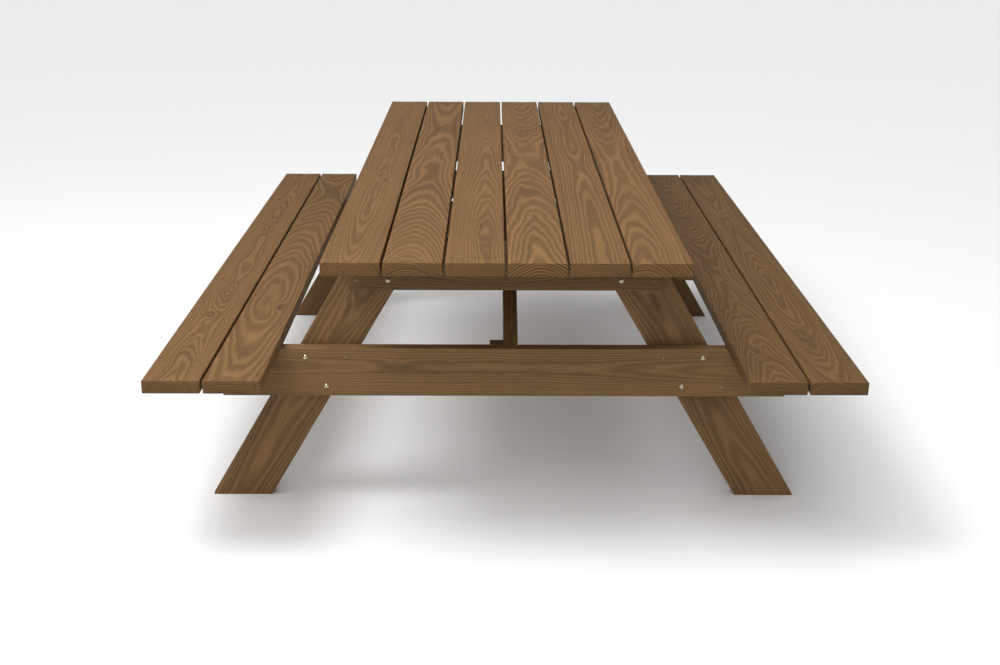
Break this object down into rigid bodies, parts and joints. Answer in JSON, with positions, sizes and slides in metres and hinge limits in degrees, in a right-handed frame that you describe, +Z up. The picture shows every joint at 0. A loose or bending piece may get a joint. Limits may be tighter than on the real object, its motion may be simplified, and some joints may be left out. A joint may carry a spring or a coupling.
{
  "type": "picnic table",
  "caption": "Timber picnic table with two attached bench seats on splayed leg frames, tied by cross battens, seat beams and diagonal braces, joined with carriage bolts and screws.",
  "frame": {"origin": "on the ground, at the middle of the table's length and width", "axes": "+X to the right across the seats, +Y along the boards to the rear end, +Z up"},
  "size_m": [1.806, 2.44, 0.798],
  "materials": {
    "top_timber": "brown-stained flat-sawn pine, satin",
    "seat_timber": "brown-stained flat-sawn pine, satin",
    "frame_timber": "brown-stained pine, satin",
    "middle_timber": "brown-stained pine, satin",
    "hardware": "zinc-plated, slightly yellowed"
  },
  "bodies": {
    "root": {"top_board_1": "top_timber", "top_board_2": "top_timber", "top_board_3": "top_timber", "top_board_4": "top_timber", "top_board_5": "top_timber", "top_board_6": "top_timber", "seat_board_left_outer": "seat_timber", "seat_board_left_inner": "seat_timber", "seat_board_right_inner": "seat_timber", "seat_board_right_outer": "seat_timber", "leg_front_left": "frame_timber", "leg_front_right": "frame_timber", "leg_rear_left": "frame_timber", "leg_rear_right": "frame_timber", "top_batten_front": "frame_timber", "top_batten_rear": "frame_timber", "seat_beam_front": "frame_timber", "seat_beam_rear": "frame_timber", "top_batten_centre": "middle_timber", "seat_cleat_left": "middle_timber", "seat_cleat_right": "middle_timber", "brace_front": "middle_timber", "brace_rear": "middle_timber", "brace_block_front": "middle_timber", "brace_block_rear": "middle_timber", "beam_bolts_front": "hardware", "beam_bolts_rear": "hardware", "batten_bolts_front": "hardware", "batten_bolts_rear": "hardware", "bolt_washers": "hardware", "bolt_nuts": "hardware", "beam_nails": "hardware", "batten_nails": "hardware", "top_board_screws": "hardware", "seat_board_screws": "hardware", "seat_cleat_screws": "hardware", "brace_block_screws": "hardware", "brace_foot_screws": "hardware", "brace_head_screws": "hardware"}
  },
  "joints": []
}
